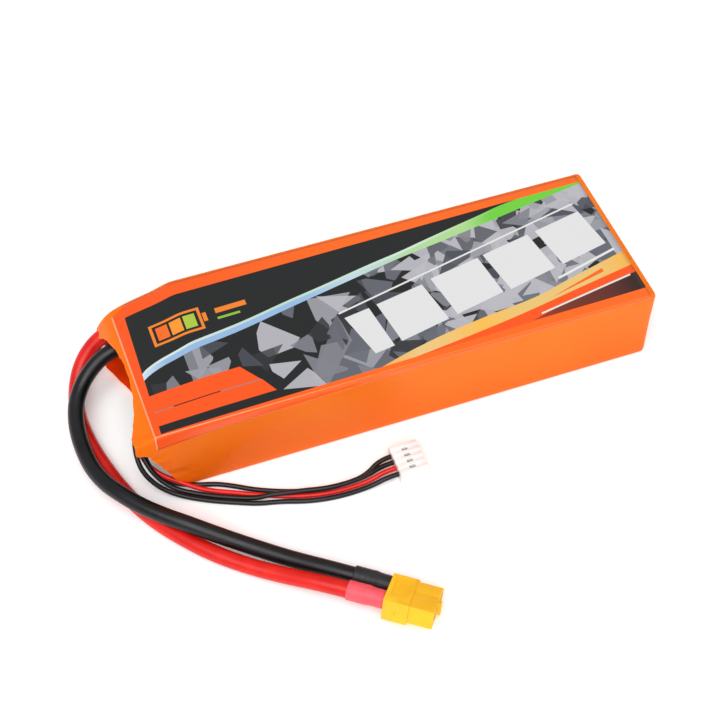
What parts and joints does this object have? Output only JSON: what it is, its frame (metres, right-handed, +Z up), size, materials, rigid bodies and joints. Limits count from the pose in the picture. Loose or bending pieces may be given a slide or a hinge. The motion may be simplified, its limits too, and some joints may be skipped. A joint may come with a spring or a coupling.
{
  "type": "lithium polymer battery pack",
  "caption": "Flat soft-pack battery in a heat-shrink wrap with a printed top sheet, two power leads with a bullet-contact plug, and a thin-wire balance plug.",
  "frame": {"origin": "on the surface, under the middle of the wrapped pack, leads and plugs left out", "axes": "+X along the pack from the open lead end to the closed far end, +Y to the back, +Z up through the cells"},
  "size_m": [0.2024, 0.143, 0.0314],
  "materials": {
    "pouch_laminate": "satin",
    "tab_aluminium": "satin",
    "tab_nickel": "satin",
    "bond_foam": "matte",
    "tab_foam": "matte",
    "end_foam": "matte",
    "board_laminate": "satin",
    "stiffener_laminate": "satin",
    "stack_tape": "gloss",
    "wrap_orange": "semi-gloss",
    "label_print": "semi-gloss",
    "lead_silicone_black": "satin",
    "tinned_copper": "satin",
    "sleeve_black": "satin",
    "gold_plate": "polished",
    "lead_silicone_red": "satin",
    "sleeve_red": "satin",
    "plug_yellow": "satin",
    "wire_silicone_black": "satin",
    "wire_silicone_red": "satin",
    "solder": "polished",
    "plug_white": "satin",
    "terminal_tin": "satin"
  },
  "bodies": {
    "root": {"cell_1": "pouch_laminate", "cell_1_positive_tab": "tab_aluminium", "cell_1_negative_tab": "tab_nickel", "cell_2": "pouch_laminate", "cell_2_positive_tab": "tab_aluminium", "cell_2_negative_tab": "tab_nickel", "cell_3": "pouch_laminate", "cell_3_positive_tab": "tab_aluminium", "cell_3_negative_tab": "tab_nickel", "cell_bond_pad_1": "bond_foam", "cell_bond_pad_2": "bond_foam", "tab_foam_lower": "tab_foam", "tab_foam_upper": "tab_foam", "far_end_foam_pad": "end_foam", "tab_board": "board_laminate", "bottom_stiffener_plate": "stiffener_laminate", "top_stiffener_plate": "stiffener_laminate", "stack_tape_lead_end": "stack_tape", "stack_tape_far_end": "stack_tape", "shrink_wrap": "wrap_orange", "label_sheet": "label_print", "negative_lead": "lead_silicone_black", "negative_lead_core": "tinned_copper", "negative_lead_sleeve": "sleeve_black", "power_plug_negative_contact": "gold_plate", "negative_plug_core": "tinned_copper", "positive_lead": "lead_silicone_red", "positive_lead_core": "tinned_copper", "positive_lead_sleeve": "sleeve_red", "power_plug_positive_contact": "gold_plate", "positive_plug_core": "tinned_copper", "power_plug_housing": "plug_yellow", "balance_wire_1": "wire_silicone_black", "balance_wire_2": "wire_silicone_black", "balance_wire_3": "wire_silicone_red", "balance_wire_4": "wire_silicone_black", "solder_joints": "solder", "balance_plug_housing": "plug_white", "balance_plug_contacts": "terminal_tin"}
  },
  "joints": []
}
